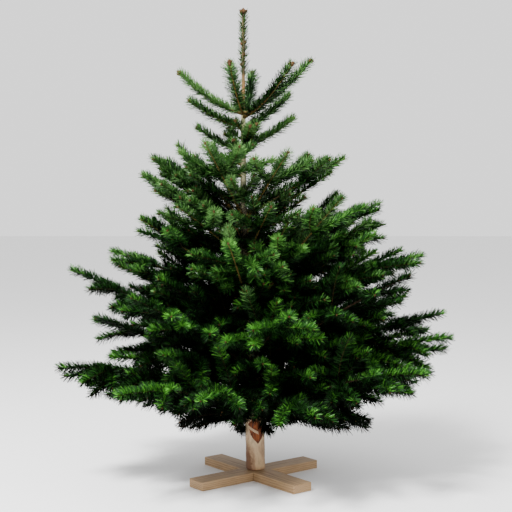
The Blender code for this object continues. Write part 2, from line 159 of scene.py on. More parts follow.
# Small shoots of the same make at the trunk's bare ends, as (height, azimuth, reach, rise)
smallShoots = dict(fill=1.2, rows=dict(
    neck=(
        (1.19, 297, 0.115, 0.128), (1.235, 200, 0.08, 0.05), (1.26, 150, 0.07, 0.05),
        (1.2, 235, 0.07, 0.06), (1.285, 240, 0.06, 0.045), (1.155, 120, 0.09, 0.06),
        (1.165, 180, 0.09, 0.035), (1.265, 60, 0.08, 0.07), (1.12, 215, 0.09, 0.045),
    ),
    low=(
        (0.235, 225, 0.074, -0.027), (0.215, 200, 0.065, -0.055), (0.2, 190, 0.052, -0.055),
        (0.225, 170, 0.086, -0.02), (0.225, 310, 0.081, -0.06), (0.205, 350, 0.064, -0.062),
        (0.215, 340, 0.103, -0.03), (0.225, 10, 0.127, -0.03), (0.22, 30, 0.097, -0.036),
        (0.25, 250, 0.06, -0.02), (0.25, 290, 0.089, -0.014), (0.225, 195, 0.102, -0.008),
        (0.225, 355, 0.155, -0.015), (0.22, 75, 0.09, -0.03), (0.225, 120, 0.09, -0.03),
        (0.205, 210, 0.07, -0.045), (0.205, 325, 0.07, -0.05), (0.235, 180, 0.13, 0),
        (0.235, 238, 0.075, -0.012), (0.25, 222, 0.09, -0.02), (0.24, 315, 0.08, -0.03),
        (0.265, 275, 0.085, -0.02), (0.215, 215, 0.055, -0.015), (0.255, 330, 0.09, -0.04),
        (0.28, 255, 0.18, -0.01), (0.28, 290, 0.18, -0.01), (0.25, 232, 0.2, -0.01),
        (0.25, 305, 0.2, -0.01), (0.31, 272, 0.25, 0.02), (0.24, 210, 0.18, -0.01),
        (0.24, 330, 0.18, -0.02), (0.3, 240, 0.26, 0.01), (0.3, 305, 0.26, 0.01),
    ),
))

# Lesser boughs that reach the crown's face between the main ones, in the same terms
lesserBoughs = (
    ("upper", 0.95, 197, 0.26, 0.287), ("upper", 0.87, 176, 0.394, 0.261),
    ("upper", 0.88, 205, 0.362, 0.187), ("high", 0.64, 187, 0.404, 0.324), ("high", 0.66, 200, 0.32, 0.342),
    ("high", 0.61, 8, 0.525, 0.329), ("high", 0.58, 350, 0.481, 0.325), ("high", 0.5, 12, 0.608, 0.336),
    ("high", 0.7, 12, 0.36, 0.359), ("high", 0.5, 176, 0.47, 0.264), ("middle", 0.39, 346, 0.582, 0.286),
    ("middle", 0.45, 352, 0.516, 0.305), ("middle", 0.33, 12, 0.705, 0.186),
    ("middle", 0.33, 184, 0.595, 0.254), ("middle", 0.44, 196, 0.426, 0.267),
    ("low", 0.28, 6, 0.698, 0.079), ("low", 0.25, 345, 0.606, 0.069), ("low", 0.205, 10, 0.455, -0.05),
    ("low", 0.2, 350, 0.326, -0.035), ("low", 0.3, 185, 0.547, 0.138), ("low", 0.25, 188, 0.623, 0.097),
    ("low", 0.23, 178, 0.558, 0.05), ("low", 0.2, 172, 0.249, -0.05), ("low", 0.21, 190, 0.34, 0.043),
    ("low", 0.23, 352, 0.486, 0.043), ("low", 0.235, 190, 0.715, 0.145), ("low", 0.255, 356, 0.726, 0.215),
    ("low", 0.245, 182, 0.6, 0.072), ("high", 0.6, 6, 0.493, 0.347), ("high", 0.5, 8, 0.451, 0.331),
    ("middle", 0.42, 186, 0.459, 0.285), ("low", 0.215, 184, 0.282, -0.05),
    ("low", 0.205, 196, 0.223, -0.032), ("low", 0.2, 350, 0.288, -0.029),
    ("low", 0.205, 356, 0.362, -0.045), ("low", 0.215, 2, 0.434, -0.06), ("upper", 0.93, 188, 0.319, 0.222),
    ("high", 0.68, 182, 0.312, 0.284), ("upper", 0.91, 350, 0.334, 0.227),
    ("upper", 0.86, 335, 0.251, 0.183), ("inner", 0.84, 320, 0.198, 0.166),
    ("high", 0.52, 182, 0.499, 0.262), ("high", 0.6, 355, 0.463, 0.356), ("high", 0.5, 352, 0.475, 0.337),
    ("high", 0.66, 20, 0.393, 0.388), ("high", 0.55, 178, 0.349, 0.284), ("high", 0.66, 184, 0.362, 0.3),
    ("upper", 0.93, 184, 0.319, 0.2), ("inner", 0.9, 190, 0.276, 0.207), ("low", 0.37, 82, 0.42, 0.08),
    ("low", 0.26, 192, 0.557, 0.048), ("low", 0.2, 216, 0.341, 0.022), ("low", 0.22, 338, 0.394, 0.043),
    ("low", 0.2, 346, 0.444, 0.01), ("high", 0.62, 300, 0.287, 0.333),
)

# Single twigs of the upper tier that stand in front of the trunk, as (bough, share of its way, tip), and how
# far their middle sags
starTwigs = dict(sag=0.008, twigs=(
    (1, 0.56, (-0.013, -0.2, 1.258)), (1, 0.56, (0.064, -0.15, 1.206)), (1, 0.56, (-0.244, -0.2, 1.179)),
))

# Windows of open sky that no finer twig crosses, as (left, right, low, high) on the plane through the trunk,
# seen from straight ahead at the distance and height of a viewer's eye
skyGaps = dict(distance=4.0, height=1.05, windows=(
    (0.10, 0.16, 1.18, 1.28), (0.34, 0.40, 1.06, 1.12), (0.15, 0.25, 1.03, 1.11),
    (-0.44, -0.36, 0.83, 0.97), (0.41, 0.53, 0.86, 0.95), (-0.61, -0.42, 0.49, 0.57),
    (-0.50, -0.36, 0.23, 0.30), (0.40, 0.50, 0.26, 0.35), (-0.36, -0.29, 1.02, 1.08),
    (-0.42, -0.30, 1.11, 1.14), (-0.41, -0.27, 1.19, 1.25), (-0.03, 0.05, 1.20, 1.27),
))


# Curves: each is (start, control, end), three points of a quadratic

def unit(v):
    return v / np.linalg.norm(v, axis=-1, keepdims=True)


def pointOn(curve, t):
    start, control, end = curve
    return start * (1 - t) ** 2 + control * (2 * t * (1 - t)) + end * t**2


def pointsOn(curve, shares):
    return pointOn(curve, np.asarray(shares)[:, None])


def aheadOn(curve, t):
    start, control, end = curve
    return unit((control - start) * (1 - t) + (end - control) * t)


def lengthOf(curve):
    steps = pointsOn(curve, np.linspace(0, 1, 17))
    return float(np.linalg.norm(np.diff(steps, axis=0), axis=1).sum())


def partOf(curve, t0, t1):
    _, control, end = curve
    near, far = pointOn(curve, t0), pointOn(curve, t1)
    return near, near + (control * (1 - t0) + end * t0 - near) * ((t1 - t0) / (1 - t0)), far


def trunkMiddle(height):
    share = min(1.0, height / tree["sweepHeight"])
    return np.array((-tree["sweep"] * share**2 * (3 - 2 * share), 0.0, tree["footHeight"] + height))


def trunkRadius(height):
    heights, radii = zip(*tree["trunkRadii"])
    return float(np.interp(height, heights, radii))


def boughCurve(height, azimuth, reach, rise, bow):
    outward = np.array((math.cos(math.radians(azimuth)), math.sin(math.radians(azimuth)), 0.0))
    root = trunkMiddle(height)
    start = root + outward * (trunkRadius(height) * branching["rootDepth"])
    end = root + outward * reach + up * rise
    return start, (start + end) / 2 + up * (bow * reach), end


def sideCurve(parent, t, length, hand, angle, hang):
    start, ahead = pointOn(parent, t), aheadOn(parent, t)
    side = unit(np.cross(ahead, up))
    leaving, ending = math.radians(angle), math.radians(angle - branching["sideForward"])
    early = up * (hang * branching["earlyHang"])
    first = ahead * math.cos(leaving) + side * (hand * math.sin(leaving)) - early
    whole = ahead * math.cos(ending) + side * (hand * math.sin(ending)) - up * hang
    return start, start + unit(first) * (length / 2), start + unit(whole) * length


def nodesAlong(length, newest, bare):
    # each year's node as (t on the curve, way left to the tip), from the tip inwards
    left, year = newest, newest
    while left < length - bare - branching["nodeMargin"]:
        yield 1 - left / length, left
        year *= branching["yearShrink"]
        left += year


# Growth

def newShoot(bough, curve, order, bare=0.0, stem=0.0):
    # order 0 is a bough's own main shoot, 1 a side twig, 2 a twig on that, and so on
    return dict(bough=bough, curve=curve, length=lengthOf(curve), order=order, bare=bare, stem=stem)


def filledSpheres(shoot):
    # points along the shoot with the room that its needles fill, less of it at their foot and at the tip
    rule = branching
    needle = shoot["bough"]["needle"]
    needled = shoot["length"] - shoot["bare"]
    firstTier = rule["tierSweep"] * needled / max(2, round(needled / rule["tierPitch"]))
    shares = np.arange(max(4, int(shoot["length"] / rule["sampleStep"])) + 1)
    shares = shares / shares[-1]
    past = shares * shoot["length"] - shoot["bare"]
    opened = np.clip(past / firstTier, 0, 1)
    along = np.maximum(0, past / needled)
    reach = needle * np.minimum(np.minimum(1.0, 0.62 + 2.2 * along), 0.80 + 1.4 * (1 - along))
    reach = shoot["stem"] + (reach * rule["widestCorner"] - shoot["stem"]) * opened
    return pointsOn(shoot["curve"], shares), reach


class Space:
    # what stems and shoots already fill
    def __init__(self):
        self.owners, self.points, self.radii = np.empty(0, int), np.empty((0, 3)), np.empty(0)

    def add(self, owner, points, radii):
        self.owners = np.append(self.owners, np.full(len(points), owner))
        self.points = np.vstack((self.points, points))
        self.radii = np.append(self.radii, radii)

    def isFree(self, owner, points, radii, gap):
        others = self.owners != owner
        apart = np.linalg.norm(points[:, None] - self.points[None, others], axis=2)
        return bool((apart >= np.asarray(radii)[:, None] + self.radii[None, others] + gap).all())


def newBough(tier, number, mark, height, azimuth, reach, rise):
    rule, plan = branching, tiers[tier]
    whole = boughCurve(height, azimuth, reach, rise, plan["bow"])
    length = lengthOf(whole)
    newest = min(rule["newestMost"], max(rule["newestLeast"], length * rule["newestShare"]))
    bough = dict(tier=tier, number=number, mark=mark, hang=plan["hang"], needle=plan["needle"])
    bough.update(newest=newest, whole=whole, wholeLength=length, limb=None)
    bough["rng"] = random.Random(rule["seed"] * 1000 + round(height * 1000) + azimuth)
    bough["fineRng"] = random.Random(fineTwigs["seed"] * 1000 + round(height * 1000) + azimuth)
    bough["root"] = rule["rootRadius"] + rule["rootGain"] * length ** rule["rootPower"]
    if plan["limb"] and reach >= rule["limbLeast"]:
        bough["limb"] = partOf(whole, 0.0, plan["limb"])
        bough["axis"] = partOf(whole, plan["limb"] + rule["jointGap"] / length, 1.0)
        stem, bare = bough["root"] * rule["limbTaper"], rule["sprayFoot"]
    else:
        bough["axis"] = whole
        stem, bare = bough["root"], trunkRadius(height) * (1 - rule["rootDepth"]) + rule["bareFoot"]
    bough["shoots"] = [newShoot(bough, bough["axis"], 0, bare, stem)]
    return bough


def clearMainShoot(space, bough):
    # the needles start further out until the main shoot is free of its neighbours
    rule, main = branching, bough["shoots"][0]
    foot = bough["axis"][0]
    while True:
        points, radii = filledSpheres(main)
        past = np.linalg.norm(points - foot, axis=1) > rule["footLength"]
        if space.isFree(bough["mark"], points[past], radii[past], rule["clearance"]):
            break
        main["bare"] += rule["bareStep"]
    space.add(bough["mark"], points, radii)


def sidePlans(bough):
    rule, main, rng = branching, bough["shoots"][0], bough["rng"]
    plans = []
    if bough["hang"] is None:
        return plans
    for t, left in nodesAlong(main["length"], bough["newest"], main["bare"]):
        length = rule["sideRatio"] * left * (1 - rule["sideSlowing"] * left / main["length"])
        for hand in (-1, 1):
            angle = rule["sideAngle"] + rng.uniform(-rule["angleSpread"], rule["angleSpread"])
            plans.append((t, length * rng.uniform(0.9, 1.08), hand, angle))
    return plans


def growSide(space, bough, t, length, hand, angle):
    rule = branching
    for share in rule["sideShares"]:
        if length * share < rule["sideLeast"]:
            return None
        curve = sideCurve(bough["axis"], t, length * share, hand, angle, bough["hang"])
        shoot = newShoot(bough, curve, 1, stem=rule["sideStem"])
        points, radii = filledSpheres(shoot)
        if space.isFree(bough["mark"], points, radii, rule["clearance"]):
            space.add(bough["mark"], points, radii)
            bough["shoots"].append(shoot)
            return shoot
    return None


def growTwigs(space, bough, side):
    rule, rng = branching, bough["rng"]
    for t, left in nodesAlong(side["length"], bough["newest"] * rule["sideRatio"], 0.0):
        for hand in (-1, 1):
            angle = rule["twigAngle"] + rng.uniform(-rule["angleSpread"], rule["angleSpread"])
            length = rule["twigRatio"] * left * rng.uniform(0.85, 1.1)
            curve = sideCurve(side["curve"], t, length, hand, angle, bough["hang"] * rule["twigHang"])
            twig = newShoot(bough, curve, 2, stem=rule["twigStem"])
            points, radii = filledSpheres(twig)
            if length > rule["sideLeast"] and space.isFree(bough["mark"], points, radii, rule["clearance"]):
                space.add(bough["mark"], points, radii)
                bough["shoots"].append(twig)


def growBoughs():
    boughs = []
    for tier, plan in tiers.items():
        for i, place in enumerate(plan["boughs"]):
            boughs.append(newBough(tier, i + 1, len(boughs) + 1, *place))
    space, step = Space(), branching["sampleStep"]
    heights = [i * step for i in range(int(tree["trunkTop"] / step))]
    space.add(0, np.array([trunkMiddle(h) for h in heights]), [trunkRadius(h) for h in heights])
    for bough in boughs:
        if bough["limb"]:
            count = max(4, int(lengthOf(bough["limb"]) / step)) + 1
            points = pointsOn(bough["limb"], np.linspace(0, 1, count))
            space.add(bough["mark"], points, np.full(len(points), bough["root"]))
        clearMainShoot(space, bough)
    plans = [(bough, plan) for bough in boughs for plan in sidePlans(bough)]
    plans.sort(key=lambda entry: entry[1][1])
    sides = []
    for bough, plan in plans:
        side = growSide(space, bough, *plan)
        sides.append((bough, plan, side))
    for bough, plan, side in sides:
        if side is not None:
            growTwigs(space, bough, side)
    return boughs, sides


# Finer twigs

class StemGrid:
    # where stems run, in cells as wide as the gap kept between two of them
    def __init__(self, gap):
        self.gap, self.cells = gap, {}

    def add(self, points):
        for point in points.tolist():
            self.cells.setdefault(tuple(int(x // self.gap) for x in point), []).append(point)

    def isFree(self, points):
        for x, y, z in points.tolist():
            if math.dist((x, y), trunkMiddle(z - tree["footHeight"])[:2]) < trunkRadius(z) + self.gap:
                return False
            i, j, k = (int(v // self.gap) for v in (x, y, z))
            for cell in itertools.product((i - 1, i, i + 1), (j - 1, j, j + 1), (k - 1, k, k + 1)):
                for other in self.cells.get(cell, ()):
                    if math.dist(other, (x, y, z)) < self.gap:
                        return False
        return True


def stemSamples(shoot, least=0.0):
    shares = np.linspace(least, 1, max(3, int(shoot["length"] / branching["sampleStep"])) + 1)
    return pointsOn(shoot["curve"], shares)


def isAboveFoot(points):
    # whether all of it stays above the crown's lowest line
    rule = fineTwigs
    rise = rule["lowestRise"] * np.hypot(points[:, 0], points[:, 1])
    ahead = np.clip(1 - np.abs(points[:, 0]) / rule["middleHalf"], 0, 1)
    rise += (rule["frontRise"] + rule["middleRise"] * ahead) * np.clip(-points[:, 1], 0, 1)
    return bool((points[:, 2] >= rule["lowest"] + rise).all())


def crossesSky(points):
    nearer = skyGaps["distance"] / (skyGaps["distance"] + points[:, 1])
    across, height = points[:, 0] * nearer, skyGaps["height"] + (points[:, 2] - skyGaps["height"]) * nearer
    return any(((left < across) & (across < right) & (low < height) & (height < high)).any()
               for left, right, low, high in skyGaps["windows"])


def hasRoom(stems, points):
    return isAboveFoot(points) and not crossesSky(points) and stems.isFree(points)


def keepIfFree(stems, bough, curve, order):
    twig = newShoot(bough, curve, order)
    if twig["length"] < fineTwigs["least"] or not hasRoom(stems, stemSamples(twig, fineTwigs["clearShare"])):
        return False
    stems.add(stemSamples(twig))
    bough["shoots"].append(twig)
    return True


def tryTwig(stems, bough, parent, t, length, hand, angle, hang, order):
    for share in branching["sideShares"]:
        curve = sideCurve(parent["curve"], t, length * share, hand, angle, hang)
        if keepIfFree(stems, bough, curve, order):
            return


def risingTwig(stems, bough, parent, t, length, angle, lean):
    start, ahead = pointOn(parent["curve"], t), aheadOn(parent["curve"], t)
    side = unit(np.cross(ahead, up))
    above = np.cross(side, ahead)
    leaving = math.radians(angle)
    first = unit(ahead * math.cos(leaving) + (above + side * lean) * math.sin(leaving))
    end = start + unit(first + ahead * fineTwigs["risingForward"]) * length
    keepIfFree(stems, bough, (start, start + first * (length / 2), end), 2)


def nearestBough(tier, azimuth):
    def turnTo(place):
        return abs((place[1] - azimuth + 180) % 360 - 180)

    return min(tiers[tier]["boughs"], key=turnTo)


def newMinorBough(tier, number, place, bow, root):
    rule, whole = branching, boughCurve(*place, bow)
    length = lengthOf(whole)
    bough = dict(tier=tier, hang=tiers[tier]["hang"], whole=whole, wholeLength=length, root=root)
    bough["newest"] = min(rule["newestMost"], length * rule["newestShare"])
    bough["rng"] = bough["fineRng"] = random.Random(minorBoughs["seed"] * 1000 + number)
    bare = trunkRadius(place[0]) * (1 - rule["rootDepth"]) + minorBoughs["bareRoots"] * root
    bough["shoots"] = [newShoot(bough, whole, 0, bare)]
    return bough


def growMinorBoughs(stems):
    # all that stands between the main boughs, in an order that their draws depend on
    rule, short, rng = minorBoughs, trunkShoots, random.Random(minorBoughs["seed"])
    grown = []
    for tier, *place in lesserBoughs:
        grown.append(newMinorBough(tier, len(grown), place, tiers[tier]["bow"], rule["root"]))
        stems.add(stemSamples(grown[-1]["shoots"][0]))
    for lower, upper, count in rule["rows"]:
        for i in range(count):
            azimuth = (i + rng.uniform(0.2, 0.8)) * 360 / count
            neighbours = nearestBough(lower, azimuth), nearestBough(upper, azimuth)
            height, _, reach, rise = np.mean(neighbours, axis=0).tolist()
            height += rng.uniform(-1, 1) * rule["heightSpread"]
            reach *= rng.uniform(*rule["reachShare"])
            rise *= rule["flatter"]
            if lower == upper:
                height, rise = height - rule["lowDrop"], rise - rule["lowRise"]
            bow = tiers[lower]["bow"] * rule["flatter"]
            bough = newMinorBough(lower, len(grown), (height, azimuth, reach, rise), bow, rule["root"])
            points = stemSamples(bough["shoots"][0])
            past = np.linalg.norm(points - points[0], axis=1) > rule["rootLength"]
            if hasRoom(stems, points[past]):
                stems.add(points)
                grown.append(bough)
    lowest, highest = short["heights"]
    for i in range(short["count"]):
        height = lowest + (i + rng.random()) / short["count"] * (highest - lowest)
        tier = next(name for name, top in short["tiers"] if height < top)
        place = (height, (i * goldenAngle) % 360, rng.uniform(*short["reach"]), rng.uniform(*short["rise"]))
        bough = newMinorBough(tier, len(grown), place, short["bow"], short["root"])
        if stems.isFree(stemSamples(bough["shoots"][0], short["clearShare"])):
            stems.add(stemSamples(bough["shoots"][0]))
            grown.append(bough)
    for tier, places in smallShoots["rows"].items():
        for place in places:
            grown.append(newMinorBough(tier, len(grown), place, short["bow"], short["root"]))
            grown[-1]["fill"] = smallShoots["fill"]
    return grown


def growStarTwigs(stems, boughs):
    for number, t, tip in starTwigs["twigs"]:
        bough = next(b for b in boughs if b["tier"] == "upper" and b["number"] == number)
        start, tip = pointOn(bough["shoots"][0]["curve"], t), np.array(tip)
        twig = newShoot(bough, (start, (start + tip) / 2 - up * starTwigs["sag"], tip), 1)
        stems.add(stemSamples(twig))
        bough["shoots"].append(twig)


def growRisingTwigs(stems, bough):
    rule, rng, main = fineTwigs, bough["fineRng"], bough["shoots"][0]
    nodes = list(nodesAlong(main["length"], bough["newest"], main["bare"]))
    if bough["tier"] in rule["openTiers"]:
        nodes = nodes[:1]
    for t, left in nodes if bough["tier"] in rule["starTiers"] else nodes[1:]:
        leans = [rng.uniform(*ends) for ends in rule["risingLeans"]]
        for angle, lean in zip(rule["risingAngles"], leans):
            length = rule["risingShare"] * left * (1 - branching["sideSlowing"] * left / main["length"])
            risingTwig(stems, bough, main, t, length * rng.uniform(*rule["risingLength"]), angle, lean)


def growPairs(stems, bough, order):
    # twigs in pairs at each node of the bough's shoots of one order
    rule, source, rng = fineTwigs, branching, bough["fineRng"]
    for parent in [s for s in bough["shoots"] if s["order"] == order]:
        newest = bough["newest"] * source["sideRatio"] ** order * rule["pitch"]
        for t, left in nodesAlong(parent["length"], newest, 0.0):
            for hand in (-1, 1):
                angle = source["twigAngle"] + rng.uniform(-rule["turn"], rule["turn"])
                length = source["twigRatio"] * left * rng.uniform(*rule["length"])
                hang = bough["hang"] * rng.uniform(*rule["hang"]) + rng.uniform(*rule["hangMore"])
                tryTwig(stems, bough, parent, t, length, hand, angle, hang, order + 1)


def growBetween(stems, bough):
    # small twigs between the nodes
    rule, rng = fineTwigs, bough["fineRng"]
    for parent in [s for s in bough["shoots"] if s["order"] < 3]:
        newest = bough["newest"] * (branching["sideRatio"] if parent["order"] else 1.0)
        nodes = list(nodesAlong(parent["length"], newest, parent["bare"]))
        for (t, _), (further, _) in zip(nodes, nodes[1:] + [(0.0, None)]):
            for share, hand in itertools.product(rule["betweenShares"], (-1, 1)):
                share += rng.uniform(-rule["betweenSpread"], rule["betweenSpread"])
                way = further + (t - further) * share
                length = rng.uniform(*rule["betweenLength"])
                angle = rule["betweenAngle"] + rng.uniform(-rule["betweenTurn"], rule["betweenTurn"])
                hang = rng.uniform(*rule["betweenHang"])
                tryTwig(stems, bough, parent, way, length, hand, angle, hang, 3)


def growFineTwigs(boughs, sides):
    rule = fineTwigs
    for bough, (t, _, hand, angle), side in sides:
        last = 1 - bough["newest"] / bough["shoots"][0]["length"]
        if side is not None and bough["tier"] in rule["starTiers"] and t > last - 0.01:
            length = side["length"] * rule["starGain"]
            side["curve"] = sideCurve(bough["axis"], t, length, hand, angle, bough["hang"])
            side["length"] = lengthOf(side["curve"])
    stems = StemGrid(rule["stemGap"])
    for bough in boughs:
        count = int(bough["wholeLength"] / branching["sampleStep"]) + 2
        stems.add(pointsOn(bough["whole"], np.linspace(0, 1, count)))
        for shoot in bough["shoots"][1:]:
            stems.add(stemSamples(shoot))
    growStarTwigs(stems, boughs)
    minor = growMinorBoughs(stems)
    boughs += minor

    # the minor boughs' side twigs, and those that the solids had no room for, at their own length
    wanted = [(bough, plan) for bough, plan, side in sides if side is None]
    wanted += [(bough, plan) for bough in minor for plan in sidePlans(bough)]
    for bough, (t, length, hand, angle) in sorted(wanted, key=lambda entry: -entry[1][1]):
        hang = bough["hang"] + rule["drop"] * max(0.0, bough["hang"]) * bough["fineRng"].random()
        tryTwig(stems, bough, bough["shoots"][0], t, length, hand, angle, hang, 1)

    hanging = [b for b in boughs if b["hang"] is not None]
    closed = [b for b in hanging if b["tier"] not in rule["openTiers"]]
    for bough in hanging:
        growRisingTwigs(stems, bough)
    for order in (1, 2):
        for bough in closed:
            growPairs(stems, bough, order)
    for bough in closed:
        growBetween(stems, bough)


# Materials

def colour(hexCode):
    # an sRGB hex colour turned to linear
    parts = [int(hexCode[i:i + 2], 16) / 255 for i in (1, 3, 5)]
    linear = [p / 12.92 if p <= 0.04045 else ((p + 0.055) / 1.055) ** 2.4 for p in parts]
    return (*linear, 1.0)


def addNode(skin, kind, inputs=None, **settings):
    # one node with its settings, and its inputs as values or as links from other nodes' sockets
    node = skin.node_tree.nodes.new(kind)
    for name, value in settings.items():
        setattr(node, name, value)
    for name, value in (inputs or {}).items():
        if isinstance(value, bpy.types.NodeSocket):
            skin.node_tree.links.new(value, node.inputs[name])
        else:
            node.inputs[name].default_value = value
    return node


def newSkin(name, roughness, ior):
    skin = bpy.data.materials.new(name)
    skin.use_nodes = True
    shader = skin.node_tree.nodes["Principled BSDF"]
    shader.inputs["Roughness"].default_value = roughness
    shader.inputs["IOR"].default_value = ior
    return skin, shader


def addRamp(skin, factor, stops):
    # a colour ramp through (place, hex) stops
    node = addNode(skin, "ShaderNodeValToRGB", {"Fac": factor})
    ramp = node.color_ramp
    ramp.elements[0].position, ramp.elements[0].color = stops[0][0], colour(stops[0][1])
    ramp.elements[1].position, ramp.elements[1].color = stops[-1][0], colour(stops[-1][1])
    for place, hexCode in stops[1:-1]:
        ramp.elements.new(place).color = colour(hexCode)
    return node.outputs["Color"]


def addNoise(skin, vector, scale, detail, roughness):
    return addNode(skin, "ShaderNodeTexNoise", {
        "Vector": vector, "Scale": scale, "Detail": detail, "Roughness": roughness,
    }).outputs["Fac"]


def addMapping(skin, vector, scale, **more):
    inputs = {"Vector": vector, "Scale": scale} | {name.title(): value for name, value in more.items()}
    return addNode(skin, "ShaderNodeMapping", inputs).outputs["Vector"]


def addRange(skin, value, **ends):
    inputs = {"Value": value} | {f"{name[:-3].title()} {name[-3:]}": end for name, end in ends.items()}
    return addNode(skin, "ShaderNodeMapRange", inputs).outputs["Result"]


def objectPlace(skin):
    return addNode(skin, "ShaderNodeTexCoord").outputs["Object"]


def linkSkin(skin, shader, base, relief=None, strength=0.5, distance=0.001):
    # a skin's base colour, and its small relief where it has one
    skin.node_tree.links.new(base, shader.inputs["Base Color"])
    if relief is not None:
        inputs = {"Height": relief, "Strength": strength, "Distance": distance}
        bump = addNode(skin, "ShaderNodeBump", inputs)
        skin.node_tree.links.new(bump.outputs["Normal"], shader.inputs["Normal"])
    return skin


def needleSkin(name, deep, light, shine):
    # Fir needles, grown: leathery leaves under a thin wax, which gives each a soft, cool shine, less of it
    # on the darker greens, which stand for painted shade. The green wanders over patches of some 20 mm.
    skin, shader = newSkin(name, roughness=0.46, ior=1.42)
    shader.inputs["Specular IOR Level"].default_value = shine
    patches = addNoise(skin, objectPlace(skin), 55.0, 2.0, 0.6)
    return linkSkin(skin, shader, addRamp(skin, patches, ((0.34, deep), (0.66, light))))


def twigSkin(name, dark, light, patchScale):
    # Young fir bark, grown: thin, dull and slightly ribbed, paler where the sun has dried it.
    skin, shader = newSkin(name, roughness=0.7, ior=1.5)
    shader.inputs["Specular IOR Level"].default_value = 0.2
    patches = addNoise(skin, objectPlace(skin), patchScale, 3.0, 0.6)
    brown = addRamp(skin, patches, ((0.35, dark), (0.65, light)))
    return linkSkin(skin, shader, brown, patches, 0.4, 0.0008)


# The greens, each from its deep to its light shade with its share of shine
# Set on the ladders below, the black and deep greens serve as painted shade, and the top of each ladder as
# painted light.
greens = dict(
    olive=("#26300f", "#515c28", 0.3),
    black=("#010401", "#030a02", 0.03),
    deep=("#020a01", "#051604", 0.05),
    middle=("#061704", "#0e300b", 0.15),
    cool=("#102a0a", "#28541b", 0.3),
    pale=("#2e5222", "#628f48", 0.35),
    fresh=("#0d2c0a", "#205016", 0.25),
    bright=("#2a5b1b", "#5e963e", 0.35),
    vivid=("#286016", "#5aa034", 0.3),
)
greenNames = list(greens)
greenSkins = [needleSkin(f"fir needle, {name} green", *shades) for name, shades in greens.items()]
budSkin = twigSkin("resinous bud scale", "#24170a", "#563a1a", 300.0)
youngBark = twigSkin("young fir bark", "#2f240f", "#7d6632", 120.0)
# a darker copy of the young bark: painted shade for the boughs of the middle and low tiers
shadedBark = twigSkin("fir bark, painted shade", "#120b05", "#33200f", 120.0)
twigBark = twigSkin("fir twig bark", "#1e1709", "#4b3b1c", 160.0)


# Joined meshes from arrays

def joinedMesh(name, points, corners, counts, skins, skinOfFace):
    mesh = bpy.data.meshes.new(name)
    mesh.vertices.add(len(points))
    mesh.vertices.foreach_set("co", np.asarray(points, np.float32).ravel())
    mesh.loops.add(len(corners))
    mesh.loops.foreach_set("vertex_index", np.asarray(corners, np.int32))
    starts = np.concatenate(([0], np.cumsum(counts)[:-1]))
    mesh.polygons.add(len(counts))
    mesh.polygons.foreach_set("loop_start", starts.astype(np.int32))
    for skin in skins:
        mesh.materials.append(skin)
    mesh.polygons.foreach_set("material_index", np.asarray(skinOfFace, np.int32))
    mesh.polygons.foreach_set("use_smooth", np.ones(len(counts), bool))
    mesh.update(calc_edges=True)
    mesh.validate()
    piece = bpy.data.objects.new(name, mesh)
    bpy.context.scene.collection.objects.link(piece)
    return piece


needles = dict(
    seed=3,
    perMetre=2600, topGain=1.35, insideGain=0.5,  # to a metre of twig, and the top's and the inside's share
    width=0.0029,
    lengths=dict(top=0.037, neck=0.035, upper=0.034, inner=0.033, high=0.032, middle=0.034, low=0.033),
    lengthSpread=0.13,
    openAngle=56.0, tipAngle=33.0, angleSpread=6.0,  # from the twig, along it and at its tip
    tipLength=0.022,  # of the twig over which its last needles close up
    turnSpread=14,
    parting=12.0, risenParting=42.0,  # degrees without needles each side of straight below, level or rising
    steep=2.5,  # how soon a rising twig counts as risen
    lift=0.05,
    topClosing=7.0, topShorter=0.08,  # degrees by which those on top of a twig lie closer to it, and shorter
    facing=(0.6, 0.8),  # a needle's flat faces the way ahead and up, in these shares
    blunt=0.45,  # a needle's tip against its root
    twist=48.0,
    oldShare=0.35, oldFrom=0.17, oldTo=0.32,  # the needles thin out along wood this far from its tip
    shortest=0.75,  # of the last needles against the others
    rootDepth=0.8,  # their roots from the stem's middle, in its radii
    most=95000,  # in one piece
)


def framesOn(curve, shares):
    ahead = aheadOn(curve, shares[:, None])
    steep = np.abs(ahead[:, 2:]) > 0.985
    side = unit(np.cross(ahead, np.where(steep, (0.0, 1.0, 0.0), up)))
    return ahead, side, np.cross(side, ahead)


